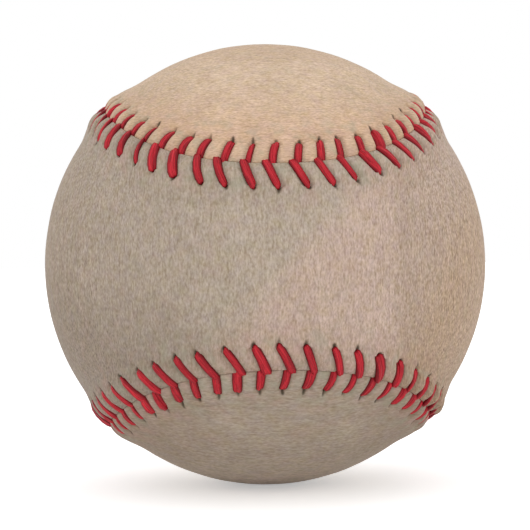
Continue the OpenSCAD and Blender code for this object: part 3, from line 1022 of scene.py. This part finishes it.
driedCement = {
    "strokes": (1000, 300, 1000),   # per metre, longest along y
    "scale": 0.5,
    "dark": paint(196, 170, 120),
    "light": paint(232, 212, 170),
    "roughness": (0.3, 0.5),
    "bump": (0.3, 0.05 * mm),
}


def dress(nodeName, material):
    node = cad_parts[nodeName]
    if not node.material_slots:
        node.data.materials.append(material)
    for slot in node.material_slots:
        slot.material = material


def makeCorkMaterial():
    material, tree, sockets, coordinates = newMaterial("pressedCork", **{"Specular IOR Level": 0.3})
    place = inMm(tree, coordinates)
    cells = addNode(tree, "TexVoronoi", {"Vector": place, "Scale": cork["cellScale"]}).outputs
    grey = addNode(tree, "SeparateColor", {"Color": cells["Color"]}).outputs[0]
    colour = mixColours(tree, grey, cork["dark"], cork["light"])
    colour = layOver(tree, colour, cells["Distance"], *cork["gaps"])
    roughness = spread(tree, grey, 0.0, 1.0, *cork["roughness"])
    joinShader(tree, sockets, colour, roughness, addBump(tree, cells["Distance"], *cork["bump"]))
    return material


def makeRubberMaterial(name, dark, light, dull):
    material, tree, sockets, coordinates = newMaterial(name)
    cloud = addNoise(tree, inMm(tree, coordinates), rubber["cloudScale"], detail=5.0, roughness=0.6)
    dust = addNoise(tree, inMm(tree, coordinates), rubber["dustScale"])
    colour = mixColours(tree, spread(tree, cloud, *noiseReach), dark, light)
    roughness = spread(tree, dust, *noiseReach, dull, dull + rubber["dustRougher"])
    joinShader(tree, sockets, colour, roughness, addBump(tree, dust, *rubber["bump"]))
    return material


def makeYarnMaterial(name, dark, light, strands):
    # wraps of yarn, laid over each other in several directions
    material, tree, sockets, coordinates = newMaterial(name, **{"Specular IOR Level": 0.2})
    fuzz = addNoise(tree, inMm(tree, coordinates), yarn["fuzzScale"], detail=3.0)
    height = None
    for number, turn in enumerate(yarn["turns"]):
        turned = addNode(tree, "Mapping", {
            "Vector": coordinates, "Rotation": turn, "Scale": (1000, 1000, 1000),
        }).outputs[0]
        wraps = addNode(tree, "TexWave", {
            "Vector": turned, "Scale": strands, "Distortion": 1.2, "Detail": 2.0, "Detail Scale": 0.6,
        }, wave_type="BANDS", bands_direction="Z").outputs["Fac"]
        if height is None:
            height = wraps
        else:
            patch = addNoise(tree, turned, yarn["patchScale"] + yarn["patchFiner"] * number, detail=1.0)
            choose = spread(tree, patch, *yarn["patchEdge"])
            below = times(tree, height, calculate(tree, "SUBTRACT", 1.0, choose))
            height = times(tree, wraps, choose, below)
    tone = times(tree, fuzz, yarn["fuzzShare"])
    tone = times(tree, height, yarn["wrapShare"], tone)
    roughness = spread(tree, fuzz, *noiseReach, *yarn["roughness"])
    joinShader(tree, sockets, mixColours(tree, tone, dark, light), roughness,
               addBump(tree, height, *yarn["bump"]))
    return material


def makeCementMaterial():
    look = driedCement
    material, tree, sockets, coordinates = newMaterial("driedCement")
    brushed = addNoise(tree, stretched(tree, coordinates, *look["strokes"]), look["scale"], detail=4.0)
    colour = mixColours(tree, brushed, look["dark"], look["light"])
    roughness = spread(tree, brushed, *noiseReach, *look["roughness"])
    joinShader(tree, sockets, colour, roughness, addBump(tree, brushed, *look["bump"]))
    return material


blackRubber = makeRubberMaterial("blackRubber", *rubber["black"])
redRubber = makeRubberMaterial("redRubber", *rubber["red"])
cement = makeCementMaterial()
greyYarn = makeYarnMaterial("greyYarn", *yarn["grey"])
innerFinishes = {
    "cork_core": makeCorkMaterial(),
    "lower_rubber_shell": blackRubber,
    "upper_rubber_shell": blackRubber,
    "shell_gasket": redRubber,
    "red_rubber_layer": redRubber,
    "core_cement": cement,
    "first_wool_winding": greyYarn,
    "second_wool_winding": makeYarnMaterial("whiteYarn", *yarn["white"]),
    "third_wool_winding": greyYarn,
    "string_winding": makeYarnMaterial("whiteString", *yarn["string"]),
    "cover_cement": cement,
}
for nodeName, material in innerFinishes.items():
    dress(nodeName, material)
print("stage 5: inner layers finished")


# floor, light and camera

studio = {
    "floorRadius": 3.0,
    "floorShade": 0.94,         # what the floor gives back of the light
    "floorFaint": 0.01,         # how much that varies
    "floorGap": 0.02 * mm,      # between the ball and the floor
    "floorGlow": 0.40,          # added for the camera alone, so that the open floor is white
    "skyLevel": 1.01,           # light from all round
    "lampPower": 0.12,
    "lampSize": 0.5,
    "lampPlace": (0.0, -0.15, 0.6),
}
camera = {
    "distance": 298.1 * mm,     # eight radii of the ball from its centre
    "lens": 118.9,
    "sensor": 36.0,
    "clip": (0.01, 20.0),
    "turn": (0.70, 3.70, 0.90), # how the ball is turned before the lens, in degrees
    "aim": (-0.01 * mm, -0.12 * mm),
}


def seenDirectly(tree):
    light = tree.nodes.new("ShaderNodeLightPath").outputs
    seen = calculate(tree, "MAXIMUM", light["Is Camera Ray"], light["Is Glossy Ray"])
    return calculate(tree, "MAXIMUM", seen, light["Is Transmission Ray"])


def makeFloor():
    form = bmesh.new()
    bmesh.ops.create_circle(form, cap_ends=True, cap_tris=False, segments=96, radius=studio["floorRadius"])
    for vertex in form.verts:
        vertex.co.z = -seam["ballRadius"] - studio["floorGap"]
    mesh = keepForm(form, bpy.data.meshes.new("floor"))
    floor = addObject("floor", mesh)
    material, tree, sockets, coordinates = newMaterial(
        "paleFloor", **{"Roughness": 0.9, "Specular IOR Level": 0.0})
    dark = studio["floorShade"]
    light = dark + studio["floorFaint"]
    faint = addNoise(tree, coordinates, 6.0)
    tree.links.new(mixColours(tree, faint, (dark, dark, dark, 1), (light, light, light, 1)),
                   sockets["Base Color"])
    glow = times(tree, seenDirectly(tree), studio["floorGlow"])
    sockets["Emission Color"].default_value = (1, 1, 1, 1)
    tree.links.new(glow, sockets["Emission Strength"])
    mesh.materials.append(material)


def makeLight():
    world = bpy.data.worlds.new("studio")
    bpy.context.scene.world = world
    world.use_nodes = True
    tree = world.node_tree
    background = tree.nodes["Background"].inputs
    background["Color"].default_value = (1, 1, 1, 1)
    level = spread(tree, seenDirectly(tree), 0.0, 1.0, studio["skyLevel"], 1.0, smooth=False)
    tree.links.new(level, background["Strength"])
    data = bpy.data.lights.new("softbox", "AREA")
    data.shape = "DISK"
    data.size = studio["lampSize"]
    data.energy = studio["lampPower"]
    lamp = addObject("softbox", data)
    place = studio["lampPlace"]
    lamp.location = place
    lamp.rotation_euler = Euler((math.atan2(place[1], place[2]), 0, 0))     # it faces the ball


def makeCamera():
    data = bpy.data.cameras.new("camera")
    data.lens = camera["lens"]
    data.sensor_width = camera["sensor"]
    data.clip_start = camera["clip"][0]
    data.clip_end = camera["clip"][1]
    view = addObject("camera", data)
    turn = Euler([math.radians(a) for a in camera["turn"]], "XYZ").to_matrix().to_4x4()
    aside = Matrix.Translation((*camera["aim"], camera["distance"]))
    view.matrix_world = Matrix.Rotation(math.pi / 2, 4, "X") @ turn.transposed() @ aside
    bpy.context.scene.camera = view


makeFloor()
makeLight()
makeCamera()
bpy.context.scene.view_settings.view_transform = "Standard"
print("stage 6: floor, light and camera set")
